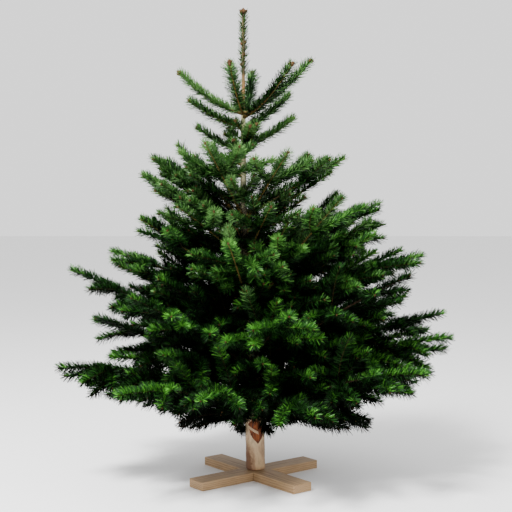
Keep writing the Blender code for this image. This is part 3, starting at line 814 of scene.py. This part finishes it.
def needlePoints(shoot, length, rng, rule):
    # the four corners of each needle on a shoot: two at its root and two at its blunt tip
    needled, spare = shoot["length"] - shoot["bare"], 1.5
    whole = int(needled * rule["perMetre"] * spare * shoot["fill"])
    place = (np.arange(whole) + rng.random(whole)) / whole
    left = needled * (1 - place)
    old = np.clip((left - rule["oldFrom"]) / (rule["oldTo"] - rule["oldFrom"]), 0, 1)
    kept = rng.random(whole) < (1 - (1 - rule["oldShare"]) * old) / spare
    place, left = place[kept], left[kept]
    count = len(place)
    shares = (shoot["bare"] + place * needled) / shoot["length"]
    centre = pointsOn(shoot["curve"], shares)
    ahead, side, above = framesOn(shoot["curve"], shares)

    turn = (np.arange(count) * goldenAngle + rng.normal(0, rule["turnSpread"], count)) % 360 - 180
    risen = np.clip(ahead[:, 2] * rule["steep"], 0, 1)
    parting = rule["parting"] + (rule["risenParting"] - rule["parting"]) * risen
    turn = np.radians(turn * (1 - parting / 180))[:, None]
    around = side * np.sin(turn) + above * np.cos(turn)
    onTop = np.clip(np.cos(turn[:, 0]), 0, 1)
    closing = np.clip(left / rule["tipLength"], 0, 1)
    opened = rule["tipAngle"] + (rule["openAngle"] - rule["tipAngle"]) * closing
    opened -= rule["topClosing"] * onTop
    opened = np.radians(opened + rng.normal(0, rule["angleSpread"], count))[:, None]
    along = unit(ahead * np.cos(opened) + around * np.sin(opened) + up * rule["lift"])

    size = length * (1 + rng.normal(0, rule["lengthSpread"], count))
    size *= rule["shortest"] + (1 - rule["shortest"]) * closing
    size *= 1 - rule["topShorter"] * onTop
    onward, upward = rule["facing"]
    facing = unit(np.cross(along, np.cross(ahead * onward + up * upward, along)))
    twist = np.radians(rng.normal(0, rule["twist"], count))[:, None]
    wide = np.cross(along, facing) * np.cos(twist) + facing * np.sin(twist)
    root = centre + around * (shoot["stemAt"](shares)[:, None] * rule["rootDepth"])
    tip = root + along * size[:, None]
    half = wide * (rule["width"] / 2)
    blunt = half * rule["blunt"]
    return np.stack((root - half, root + half, tip + blunt, tip - blunt), axis=1)


def needleMesh(name, points, greenOf):
    corners, counts = np.arange(len(points) * 4), np.full(len(points), 4)
    return joinedMesh(name, points.reshape(-1, 3), corners, counts, greenSkins, greenOf)


def tube(curve, radii, sides, rng=None, relief=0.0):
    # a closed tube along a curve, its rings' radii given from the foot on
    shares = np.linspace(0, 1, len(radii))
    centre = pointsOn(curve, shares)
    ahead, side, above = framesOn(curve, shares)
    turns = np.arange(sides) * 2 * np.pi / sides
    out = np.asarray(radii)[:, None] * np.ones(sides)
    if rng is not None:
        out = out * (1 + relief * rng.uniform(-1, 1, out.shape))
    ring = side[:, None] * np.cos(turns)[None, :, None] + above[:, None] * np.sin(turns)[None, :, None]
    points = (centre[:, None] + ring * out[:, :, None]).reshape(-1, 3)
    foot, last = len(points), len(points) - sides
    points = np.vstack((points, centre[0] - ahead[0] * radii[0] * 0.3, centre[-1] + ahead[-1] * radii[-1]))
    column = np.arange(sides)
    beside = (column + 1) % sides
    rows = np.arange(0, foot - sides, sides)[:, None]
    quads = np.stack((rows + column, rows + beside, rows + sides + beside, rows + sides + column), axis=2)
    low = np.stack((beside, column, np.full(sides, foot)), axis=1)
    high = np.stack((last + column, last + beside, np.full(sides, foot + 1)), axis=1)
    corners = np.concatenate((quads.ravel(), low.ravel(), high.ravel()))
    counts = np.repeat((4, 3), (quads.size // 4, 2 * sides))
    return points, corners, counts


def joinTubes(name, tubes, skins, skinOf=None):
    points, corners, counts = zip(*tubes)
    offsets = np.cumsum([0] + [len(p) for p in points])
    corners = [c + offset for c, offset in zip(corners, offsets)]
    skinOf = np.zeros(len(tubes), int) if skinOf is None else skinOf
    faces = np.repeat(skinOf, [len(c) for c in counts])
    return joinedMesh(name, *(np.concatenate(part) for part in (points, corners, counts)), skins, faces)


# Stems: how thick a bough and its twigs are at a share of their length
stems = dict(
    tip=0.0014,
    power=1.55,
    sideFoot=0.0025, twigFoot=0.0018, twigTip=0.0010, thickFrom=0.2,  # the length that has the full foot
    rootFlare=1.5, flareLength=0.02,
    ring=0.012, twigRing=0.035,  # the steps of a bough's rings and a twig's
    lumps=0.05,
    trim=0.005, trims=dict(top=0.017, neck=0.014, upper=0.009, inner=0.009, high=0.008),
    trimMost=0.2,  # of its needled length
)


def boughRadius(bough, shares):
    return stems["tip"] + (bough["root"] - stems["tip"]) * (1 - np.asarray(shares)) ** stems["power"]


def giveStems(shoots):
    for shoot in shoots:
        bough = shoot["bough"]
        if shoot["order"] == 0:
            start = 1 - shoot["length"] / bough["wholeLength"]
            shoot["stemAt"] = lambda s, b=bough, f=start: boughRadius(b, f + (1 - f) * np.asarray(s))
        else:
            tip, foot = stems["twigTip"], stems["sideFoot" if shoot["order"] == 1 else "twigFoot"]
            foot = tip + (foot - tip) * min(1.0, shoot["length"] / stems["thickFrom"])
            shoot["stemAt"] = lambda s, f=foot: f + (stems["twigTip"] - f) * np.asarray(s)


def trimTips(boughs):
    # the last needles and the buds reach on past a shoot's end, so a bough's main shoot ends a little sooner
    for bough in boughs:
        shoot = bough["shoots"][0]
        cut = stems["trims"].get(bough["tier"], stems["trim"])
        cut = min(cut, max(0.0, shoot["length"] - shoot["bare"]) * stems["trimMost"])
        bough["whole"] = partOf(bough["whole"], 0.0, 1 - cut / bough["wholeLength"])
        bough["wholeLength"] -= cut
        shoot["curve"] = partOf(shoot["curve"], 0.0, 1 - cut / shoot["length"])
        shoot["length"] -= cut


boughs, sides = growBoughs()
sourceShoots = sum(len(b["shoots"]) for b in boughs)
growFineTwigs(boughs, sides)
shoots = [shoot for bough in boughs for shoot in bough["shoots"]]
trimTips(boughs)
giveStems(shoots)
print("boughs", len(boughs), "shoots of the solids", sourceShoots, "all shoots", len(shoots),
      "metres", round(sum(s["length"] for s in shoots), 1))


# The greens by spray, on three ladders from painted shade to painted light: a spray that rises is on the
# cool one, for it shows the paler undersides of its needles, and the boughs low down end on a stronger
# green. Each tier has its place on the ladder, the top tiers highest as painted light from above, and a
# spray stands lower on it the deeper in the crown it is, as painted shade.
ladders = np.array([[greenNames.index(name) for name in names] for names in (
    ("black", "deep", "middle", "cool", "pale"), ("black", "deep", "middle", "fresh", "bright"),
    ("black", "deep", "middle", "fresh", "vivid"),
)])
# each tier's rung: the tiers at the top stand highest, painted light from above
rungs = dict(top=2.8, neck=2.4, upper=2.45, inner=2.3, high=1.55, middle=1.05, low=1.42)
shade = dict(
    strongTiers=("middle", "low"),
    coolFrom=dict(high=0.68, middle=0.9, low=0.9), coolElse=0.2, coolSpread=0.08,  # its least rise
    inside=2.6, reach=0.80,  # painted shade: rungs lost towards the trunk, and the share of the crown's reach that is lit
    front=1.0, frontPower=3,  # rungs gained by what faces straight forward, where the light falls
    tip=1.0, tipLength=0.045,  # rungs gained by a spray's last needles: their paler new growth and a painted highlight
    under=dict(high=1.6, middle=2.2, low=2.4), underElse=0.8,  # and lost by the needles beneath it, painted shade
    overMost=0.35,  # the most of them that those above it gain, painted light
    low=2.3, lowBelow=0.355, lowSlant=0.15, lowBy=0.10, lowReach=0.62,  # and lost low down by the trunk, painted shade
    boughSpread=0.35, spread=0.4,  # between boughs and between the sprays of one
    litShare=0.36, lit=1.15, unlit=0.65,  # the needles that catch the light, and what they gain or lose
)


def outFrom(points):
    # how far out points lie from the crown's middle line
    return np.hypot(points[..., 0] + tree["sweep"] / 2, points[..., 1])


def crownReach(height):
    # how far the crown's shoots reach out at a height above the floor
    near = [outFrom(shoot["curve"][2]) for shoot in shoots if abs(shoot["curve"][2][2] - height) < 0.09]
    return float(np.percentile(near, 88)) if near else 0.3


def greensOfShoot(shoot, points, reachAt, rng):
    # one green for each needle
    bough, rule = shoot["bough"], shade
    tier, root, tip = bough["tier"], points[:, 0], points[:, 3]
    rung = rungs[tier] + bough["greenness"][0] * rule["boughSpread"] + rng.normal(0, rule["spread"])
    rung += np.where(rng.random(len(points)) < rule["litShare"], rule["lit"], -rule["unlit"])
    if bough["hang"] is not None:
        # painted shade towards the trunk, and painted light on what faces forward
        rung -= rule["inside"] * np.clip(1 - outFrom(root) / reachAt(root[:, 2]) / rule["reach"], 0, 1)
        rung += rule["front"] * np.clip(-unit(root[:, :2])[:, 1], 0, 1) ** rule["frontPower"]
        # painted shade low down by the trunk
        beneath = (rule["lowBelow"] + rule["lowSlant"] * np.abs(root[:, 1]) - root[:, 2]) / rule["lowBy"]
        inward = np.clip(1.6 - np.hypot(root[:, 0], root[:, 1]) / rule["lowReach"], 0, 1)
        rung -= rule["low"] * np.clip(beneath, 0, 1) * inward
    # a painted highlight on a spray's last needles, which are also its paler new growth
    left = np.linalg.norm(root - shoot["curve"][2], axis=1)
    rung += rule["tip"] * np.clip(1.5 - left / rule["tipLength"], 0, 1)
    # painted shade on the needles beneath a spray, painted light on those above it
    under = rule["under"].get(tier, rule["underElse"])
    rung += under * np.clip(unit(tip - root)[:, 2], -1, rule["overMost"])
    rise = aheadOn(shoot["curve"], 0.5)[2] + rule["coolSpread"] * (bough["greenness"][1] + rng.normal() / 2)
    if rise > rule["coolFrom"].get(tier, rule["coolElse"]):
        ladder = ladders[0]
    else:
        ladder = ladders[2 if tier in rule["strongTiers"] else 1]
    return ladder[np.clip(np.round(rung), 0, len(ladder) - 1).astype(int)]


def growNeedleMeshes():
    # each tier's needles with their greens
    rng = np.random.default_rng(needles["seed"])
    levels = np.arange(0.2, 1.7, 0.05)
    reaches = [crownReach(level) for level in levels]

    def reachAt(height):
        return np.interp(height, levels, reaches)

    for bough in boughs:
        bough["greenness"] = rng.normal(size=2)
    for tier in tiers:
        points, greenOf = [], []
        for shoot in [s for s in shoots if s["bough"]["tier"] == tier]:
            middle = pointOn(shoot["curve"], 0.6)
            openness = min(1.0, outFrom(middle) / reachAt(middle[2]) / 0.6)
            shoot["fill"] = needles["insideGain"] + (1 - needles["insideGain"]) * openness
            if shoot["bough"]["hang"] is None:
                shoot["fill"] = needles["topGain"]
            elif "fill" in shoot["bough"]:
                shoot["fill"] = shoot["bough"]["fill"]
            points.append(needlePoints(shoot, needles["lengths"][tier], rng, needles))
            greenOf.append(greensOfShoot(shoot, points[-1], reachAt, rng))
        yield tier, np.concatenate(points), np.concatenate(greenOf)


total = 0
for tier, points, greenOf in growNeedleMeshes():
    nodes = [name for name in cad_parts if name.startswith((f"{tier}_shoot", f"{tier}_spray"))]
    parts = math.ceil(len(points) / needles["most"])
    for part in range(parts):
        share = slice(part * len(points) // parts, (part + 1) * len(points) // parts)
        name = f"{tier}_needles" + (f"_{part + 1}" if parts > 1 else "")
        piece = needleMesh(name, points[share], greenOf[share])
        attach(piece, "root")
        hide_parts(*nodes)
    total += len(points)
print("needles", total)


def twigTube(shoot):
    rings = max(3, int(shoot["length"] / stems["twigRing"]))
    return tube(shoot["curve"], shoot["stemAt"](np.linspace(0, 1, rings)), 4 if shoot["order"] < 2 else 3)


twigs = joinTubes("twigs", [twigTube(s) for s in shoots if s["order"] > 0], [twigBark])
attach(twigs, "root")


def boughTube(bough, rng):
    shares = np.linspace(0, 1, int(bough["wholeLength"] / stems["ring"]))
    foot = np.exp(-shares * bough["wholeLength"] / stems["flareLength"])
    radii = boughRadius(bough, shares) * (1 + (stems["rootFlare"] - 1) * foot)
    return tube(bough["whole"], radii, 10, rng, stems["lumps"])


rng = np.random.default_rng(8)
# the boughs of the middle and low tiers take the darker bark, painted shade
limbs = joinTubes("boughs", [boughTube(b, rng) for b in boughs], [youngBark, shadedBark],
                  [1 if b["tier"] in ("middle", "low") else 0 for b in boughs])
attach(limbs, "root")
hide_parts(*[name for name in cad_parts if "_bough_" in name])


# Buds
buds = dict(
    length=0.0065, width=0.0042, sides=5,
    clusters=(5, 3, 1, 0),  # on a bough's tip, a side twig's, and those on finer twigs
    gains=dict(top=2.9, neck=2.0, upper=1.6, inner=1.4, high=1.3, middle=1.2),
    spread=38.0, leans=(0.7, 1.2),  # degrees by which those beside the first one lean out, and shares of it
    turn=2.1, sunk=0.001, sideShare=0.85,
)


def budTube(start, out, length, foot, tip, radius, sides):
    # one bud, its foot's and tip's radii as shares of its full one
    curve = (start, start + out * length / 2, start + out * length)
    return tube(curve, np.array((foot, 1.0, tip)) * radius, sides)


def budsOn(shoot, rng):
    ahead, side, above = (way[0] for way in framesOn(shoot["curve"], np.array((1.0,))))
    gain, grown = buds["gains"].get(shoot["bough"]["tier"], 1.0), []
    for i in range(buds["clusters"][shoot["order"]]):
        lean = math.radians(buds["spread"]) * (rng.uniform(*buds["leans"]) if i else 0)
        turn = i * buds["turn"] + rng.uniform(0, 1)
        aside = side * math.cos(turn) + above * math.sin(turn)
        out = unit(ahead * math.cos(lean) + aside * math.sin(lean))
        size = buds["length"] * gain * rng.uniform(0.8, 1.1) * (buds["sideShare"] if i else 1.0)
        half = buds["width"] * gain / 2 * rng.uniform(0.85, 1.1)
        start = shoot["curve"][2] - out * buds["sunk"]
        grown.append(budTube(start, out, size, 0.45, 0.8, half, buds["sides"]))
    return grown


budTubes = [bud for shoot in shoots for bud in budsOn(shoot, rng)]
budPiece = joinTubes("buds", budTubes, [budSkin])
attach(budPiece, "root")
print("buds", len(budTubes))


def stemRadius(height):
    # the trunk's radius, and further up the leading shoot's
    if height <= leader["stemFoot"]:
        return trunkRadius(height)
    share = (height - leader["stemFoot"]) / (leader["tip"] - leader["stemFoot"])
    return trunkRadius(leader["stemFoot"]) * (1 - share) + leader["tipRadius"] * share


# The leading shoot's own short, sparse, upright needles, and the buds at its tip and down it
leader = dict(
    stemFoot=1.375, foot=1.50, tip=1.734, tipRadius=0.0058,
    seed=17, needle=0.024,
    rule=dict(perMetre=1350, openAngle=50.0, tipAngle=40.0, width=0.0034, risenParting=0.0, oldShare=1.0),
    greens=("olive", "cool", "cool", "middle"),
    tipBuds=6, budLength=0.017, budRadius=0.0078, budLean=1.0, budTurn=1.257, budSunk=0.002,
    sideBuds=(1.535, 1.572, 1.578, 1.612, 1.618), sideBud=0.013, sideBudRadius=0.0062,
    sideTurn=2.4, sideFrom=2.8, sideRise=1.3, sideOut=0.004,
)


def addLeader():
    foot, tip = trunkMiddle(leader["foot"]), trunkMiddle(leader["tip"])
    shoot = dict(curve=(foot, (foot + tip) / 2, tip), length=leader["tip"] - leader["foot"])
    shoot.update(bare=0.0, fill=1.0, stemAt=lambda shares: np.full(len(shares), stemRadius(leader["foot"])))
    rng = np.random.default_rng(leader["seed"])
    points = needlePoints(shoot, leader["needle"], rng, needles | leader["rule"])
    chosen = rng.choice([greenNames.index(name) for name in leader["greens"]], len(points))
    piece = needleMesh("leading_needles", points, chosen)
    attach(piece, "root")
    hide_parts("leading_shoot")
    grown = []
    for i in range(leader["tipBuds"]):  # one in the middle and the others round it
        lean, turn = leader["budLean"] if i else 0.0, i * leader["budTurn"]
        out = np.array((math.sin(lean) * math.cos(turn), math.sin(lean) * math.sin(turn), math.cos(lean)))
        start = tip - out * leader["budSunk"]
        grown.append(budTube(start, out, leader["budLength"], 0.6, 0.75, leader["budRadius"], 6))
    for i, height in enumerate(leader["sideBuds"]):
        turn = i * leader["sideTurn"] + leader["sideFrom"]
        out = unit(np.array((math.cos(turn), math.sin(turn), leader["sideRise"])))
        start = trunkMiddle(height) + out * (1, 1, 0) * leader["sideOut"]
        grown.append(budTube(start, out, leader["sideBud"], 0.7, 0.75, leader["sideBudRadius"], 5))
    piece = joinTubes("leading_buds", grown, [budSkin])
    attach(piece, "root")


addLeader()


# The trunk: rings drawn up from a disc, subdivided and given the bark's lumps and grain
trunk = dict(
    sides=24,
    fineStep=0.011, fineTo=0.31,  # the rings stand closer by the foot
    step=0.026,
    top=1.733,
    lumps=0.0042, lumpSize=0.055,
    grain=0.0013, grainSize=0.009,
    thick=0.036,  # the radius that has the full relief
    plainFoot=0.012,  # up to here the relief grows from none at the cut
)

# Where the bark is torn off in front: (height, left, right) in degrees from straight ahead, towards +X.
wound = (
    (0.105, 18, 18), (0.126, -14, 45), (0.141, -27, 54), (0.164, -34, 50),
    (0.179, -42, 42), (0.194, -20, 34), (0.217, -2, 30), (0.255, 8, 22),
)
barkStrip = dict(left=-42, right=22, leftHeight=0.170, rightHeight=0.146, half=0.0056)  # left on it
torn = dict(depth=0.0016, rim=0.0006)


def barkSkin():
    # Fir bark, grown: thin and smooth, grey-beige, with pinkish patches and resin blisters, and browner low
    # on the left of the foot.
    # The cut's rim is brown, the bark turns a darker olive grey up through the crown, as painted shade, and
    # a pale grey again below the top whorl, and the leading shoot is tan.
    skin, shader = newSkin("smooth fir bark", roughness=0.78, ior=1.5)
    place = objectPlace(skin)
    axes = addNode(skin, "ShaderNodeSeparateXYZ", {"Vector": place}).outputs
    # the stops from 0.20 to 0.55 darken the bark through the crown: painted shade inside the crown
    base = addRamp(skin, addRange(skin, axes["Z"], fromMax=1.8), (
        (0.016, "#7a4a22"), (0.025, "#a08a6c"), (0.10, "#a8977d"), (0.20, "#8d8069"), (0.55, "#4a4836"),
        (0.66, "#6a6b52"), (0.71, "#b9bb94"), (0.76, "#b9bb94"), (0.785, "#7d6038"),
        (0.83, "#6f5329"), (0.86, "#43391a"), (1.0, "#3a3516"),
    ))
    tall = addMapping(skin, place, (1.0, 1.0, 0.35))
    tint = addRamp(skin, addNoise(skin, tall, 38.0, 4.0, 0.62), (
        (0.30, "#6b5340"), (0.44, "#a98f7e"), (0.56, "#d9cdbd"), (0.70, "#9a9482"),
    ))
    mixed = addNode(skin, "ShaderNodeMix", {"Factor": 0.55, "A": base, "B": tint},
                    data_type="RGBA", blend_type="OVERLAY")
    # browner patches, low on the left side of the foot towards the cut
    leftFootBrown = addNoise(skin, place, 62.0, 3.0, 0.7)
    for side in (addRange(skin, axes["X"], fromMin=0.012, fromMax=-0.036),
                 addRange(skin, axes["Z"], fromMin=0.19, fromMax=0.07)):
        leftFootBrown = addNode(skin, "ShaderNodeMath", {0: leftFootBrown, 1: side}, operation="MULTIPLY").outputs["Value"]
    final = addNode(skin, "ShaderNodeMix", {
        "Factor": addRange(skin, leftFootBrown, fromMin=0.10, fromMax=0.32, toMax=0.9),
        "A": mixed.outputs["Result"], "B": colour("#5a351b"),
    }, data_type="RGBA").outputs["Result"]
    return linkSkin(skin, shader, final, addNoise(skin, tall, 260.0, 4.0, 0.6), 0.5, 0.0012)


def tornSkin():
    # Inner bark, torn and dried in the air: fibrous and dull, from orange-brown to almost black.
    skin, shader = newSkin("torn inner bark", roughness=0.85, ior=1.5)
    fibres = addNoise(skin, addMapping(skin, objectPlace(skin), (1.0, 1.0, 0.22)), 150.0, 4.0, 0.65)
    brown = addRamp(skin, fibres, ((0.30, "#1c0a02"), (0.50, "#602a05"), (0.72, "#8f480e")))
    return linkSkin(skin, shader, brown, fibres, 0.8, 0.0016)


def applyModifier(piece, kind, **settings):
    made = piece.modifiers.new(kind.lower(), kind)
    for name, value in settings.items():
        setattr(made, name, value)
    bpy.ops.object.modifier_apply(modifier=made.name)


def cloudTexture(size):
    clouds = bpy.data.textures.new("bark relief", "CLOUDS")
    clouds.noise_scale = size
    clouds.noise_depth = 3
    return clouds


def isTorn(x, y, z):
    height, strip = z - tree["footHeight"], barkStrip
    middle = trunkMiddle(height)
    heights, lefts, rights = zip(*wound)
    if not heights[0] < height < heights[-1] or y > middle[1]:
        return False
    angle = math.degrees(math.atan2(x - middle[0], middle[1] - y))
    if not np.interp(height, heights, lefts) < angle < np.interp(height, heights, rights):
        return False
    onStrip = np.interp(angle, (strip["left"], strip["right"]), (strip["leftHeight"], strip["rightHeight"]))
    return not (angle < strip["right"] and abs(height - onStrip) < strip["half"])


def addTrunk():
    rule = trunk
    heights = [0.0, 0.004, *np.arange(rule["fineStep"], rule["fineTo"], rule["fineStep"])]
    heights += [*np.arange(rule["fineTo"], rule["top"], rule["step"]), rule["top"]]
    bpy.ops.object.select_all(action="DESELECT")
    bpy.ops.mesh.primitive_circle_add(vertices=rule["sides"], radius=stemRadius(0), fill_type="NGON",
                                      location=trunkMiddle(0))
    piece = bpy.context.object
    piece.name = "trunk_bark"
    bpy.ops.object.mode_set(mode="EDIT")
    bpy.ops.mesh.select_all(action="SELECT")
    for near, far in zip(heights, heights[1:]):
        step = trunkMiddle(far) - trunkMiddle(near)
        share = stemRadius(far) / stemRadius(near)
        bpy.ops.mesh.extrude_region_move(TRANSFORM_OT_translate={"value": step})
        bpy.ops.transform.resize(value=(share, share, 1), center_override=trunkMiddle(far))
    bpy.ops.mesh.select_all(action="SELECT")
    bpy.ops.mesh.normals_make_consistent(inside=False)
    bpy.ops.object.mode_set(mode="OBJECT")
    bpy.ops.object.transform_apply(location=True, rotation=True, scale=True)

    thick = piece.vertex_groups.new(name="thick")
    for vertex in piece.data.vertices:
        height = vertex.co.z - tree["footHeight"]
        low = min(1.0, max(0.0, height / rule["plainFoot"]))
        thick.add([vertex.index], min(1.0, stemRadius(height) / rule["thick"]) * low, "REPLACE")
    applyModifier(piece, "SUBSURF", levels=2, render_levels=2)
    for size, strength in ((rule["lumpSize"], rule["lumps"]), (rule["grainSize"], rule["grain"])):
        applyModifier(piece, "DISPLACE", texture=cloudTexture(size), strength=strength,
                      vertex_group="thick", texture_coords="LOCAL")

    mesh = piece.data
    mesh.materials.append(barkSkin())
    mesh.materials.append(tornSkin())
    bpy.ops.object.mode_set(mode="EDIT")
    bpy.ops.mesh.select_mode(type="FACE")
    bpy.ops.mesh.select_all(action="DESELECT")
    bpy.ops.object.mode_set(mode="OBJECT")
    for face in mesh.polygons:
        face.select = isTorn(*face.center)
        face.material_index = int(face.select)
    bpy.ops.object.mode_set(mode="EDIT")
    bpy.ops.mesh.inset(thickness=torn["rim"], depth=-torn["depth"])
    bpy.ops.object.mode_set(mode="OBJECT")
    bpy.ops.object.shade_smooth()
    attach(piece, "root")
    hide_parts("trunk")
    print("trunk", len(mesh.polygons), "faces")


addTrunk()


# The stand: the two boards keep their shape
stand = dict(turns=(("lower_board", 38.0), ("upper_board", 128.0)))


def boardSkin(name, turn):
    # Sawn spruce, planed and left bare: pale straw wood with darker late-wood lines along the board, drawn
    # 7 mm apart, wider than life, so that they show, and a dull, slightly rough face.
    skin, shader = newSkin(name, roughness=0.68, ior=1.5)
    turned = addMapping(skin, objectPlace(skin), (1.0, 1.0, 1.0), rotation=(0, 0, math.radians(-turn)))
    rings = addNode(skin, "ShaderNodeTexWave", {
        "Vector": addMapping(skin, turned, (0.12, 1.0, 1.0), location=(0.0, 0.021, 0.047)),
        "Scale": 45.0, "Distortion": 3.2, "Detail": 2.0, "Detail Scale": 1.2,
    }, wave_type="RINGS", rings_direction="X", wave_profile="SAW")
    wood = addRamp(skin, rings.outputs["Fac"], ((0.0, "#b0916a"), (0.7, "#a3825a"), (0.93, "#7c5a35")))
    fibres = addNoise(skin, addMapping(skin, turned, (0.06, 1.0, 1.0)), 420.0, 3.0, 0.6)
    dull = addRamp(skin, fibres, ((0.3, "#8a8a8a"), (0.7, "#ffffff")))
    mixed = addNode(skin, "ShaderNodeMix", {"Factor": 0.5, "A": wood, "B": dull},
                    data_type="RGBA", blend_type="MULTIPLY")
    return linkSkin(skin, shader, mixed.outputs["Result"], fibres, 0.5, 0.0006)


for boardName, turn in stand["turns"]:
    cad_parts[boardName].data.materials.clear()
    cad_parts[boardName].data.materials.append(boardSkin(f"sawn spruce, {boardName}", turn))
print("stand finished")


# Camera, light and floor
camera = dict(distance=4.0, height=1.05, aimX=0.002, aimHeight=0.851, lens=74.0)


def addCamera():
    bpy.ops.object.camera_add(location=(0, -camera["distance"], camera["height"]))
    eye = bpy.context.object
    down = math.atan2(camera["height"] - camera["aimHeight"], camera["distance"])
    aside = math.atan2(camera["aimX"], camera["distance"])
    eye.rotation_euler = (math.pi / 2 - down, 0, -aside)
    eye.data.lens = camera["lens"]
    bpy.context.scene.camera = eye


lights = (
    dict(name="key", place=(-1.8, -2.5, 4.7), size=1.2, power=860),
    dict(name="fill", place=(3.2, -2.6, 2.4), size=2.5, power=50),
)
daylight = 1.5  # the world's white light from all sides


def addLights():
    for light in lights:
        bpy.ops.object.light_add(type="AREA", location=light["place"])
        lamp = bpy.context.object
        lamp.name = light["name"]
        lamp.data.size = light["size"]
        lamp.data.energy = light["power"]
        aim = np.array((0, 0, 0.9)) - np.array(light["place"])
        flat = math.hypot(aim[0], aim[1])
        lamp.rotation_euler = (math.atan2(flat, -aim[2]), 0, math.atan2(-aim[0], aim[1]))
    world = bpy.data.worlds.new("studio")
    world.use_nodes = True
    sky = world.node_tree.nodes["Background"].inputs
    sky["Color"].default_value = (1, 1, 1, 1)
    sky["Strength"].default_value = daylight
    bpy.context.scene.world = world


def addFloor():
    bpy.ops.mesh.primitive_plane_add(size=60)
    floor = bpy.context.object
    floor.name = "floor"
    skin, shader = newSkin("matt studio floor", roughness=0.9, ior=1.45)
    shader.inputs["Base Color"].default_value = colour("#ebebeb")
    floor.data.materials.append(skin)


bpy.ops.object.select_all(action="DESELECT")
addCamera()
addLights()
addFloor()
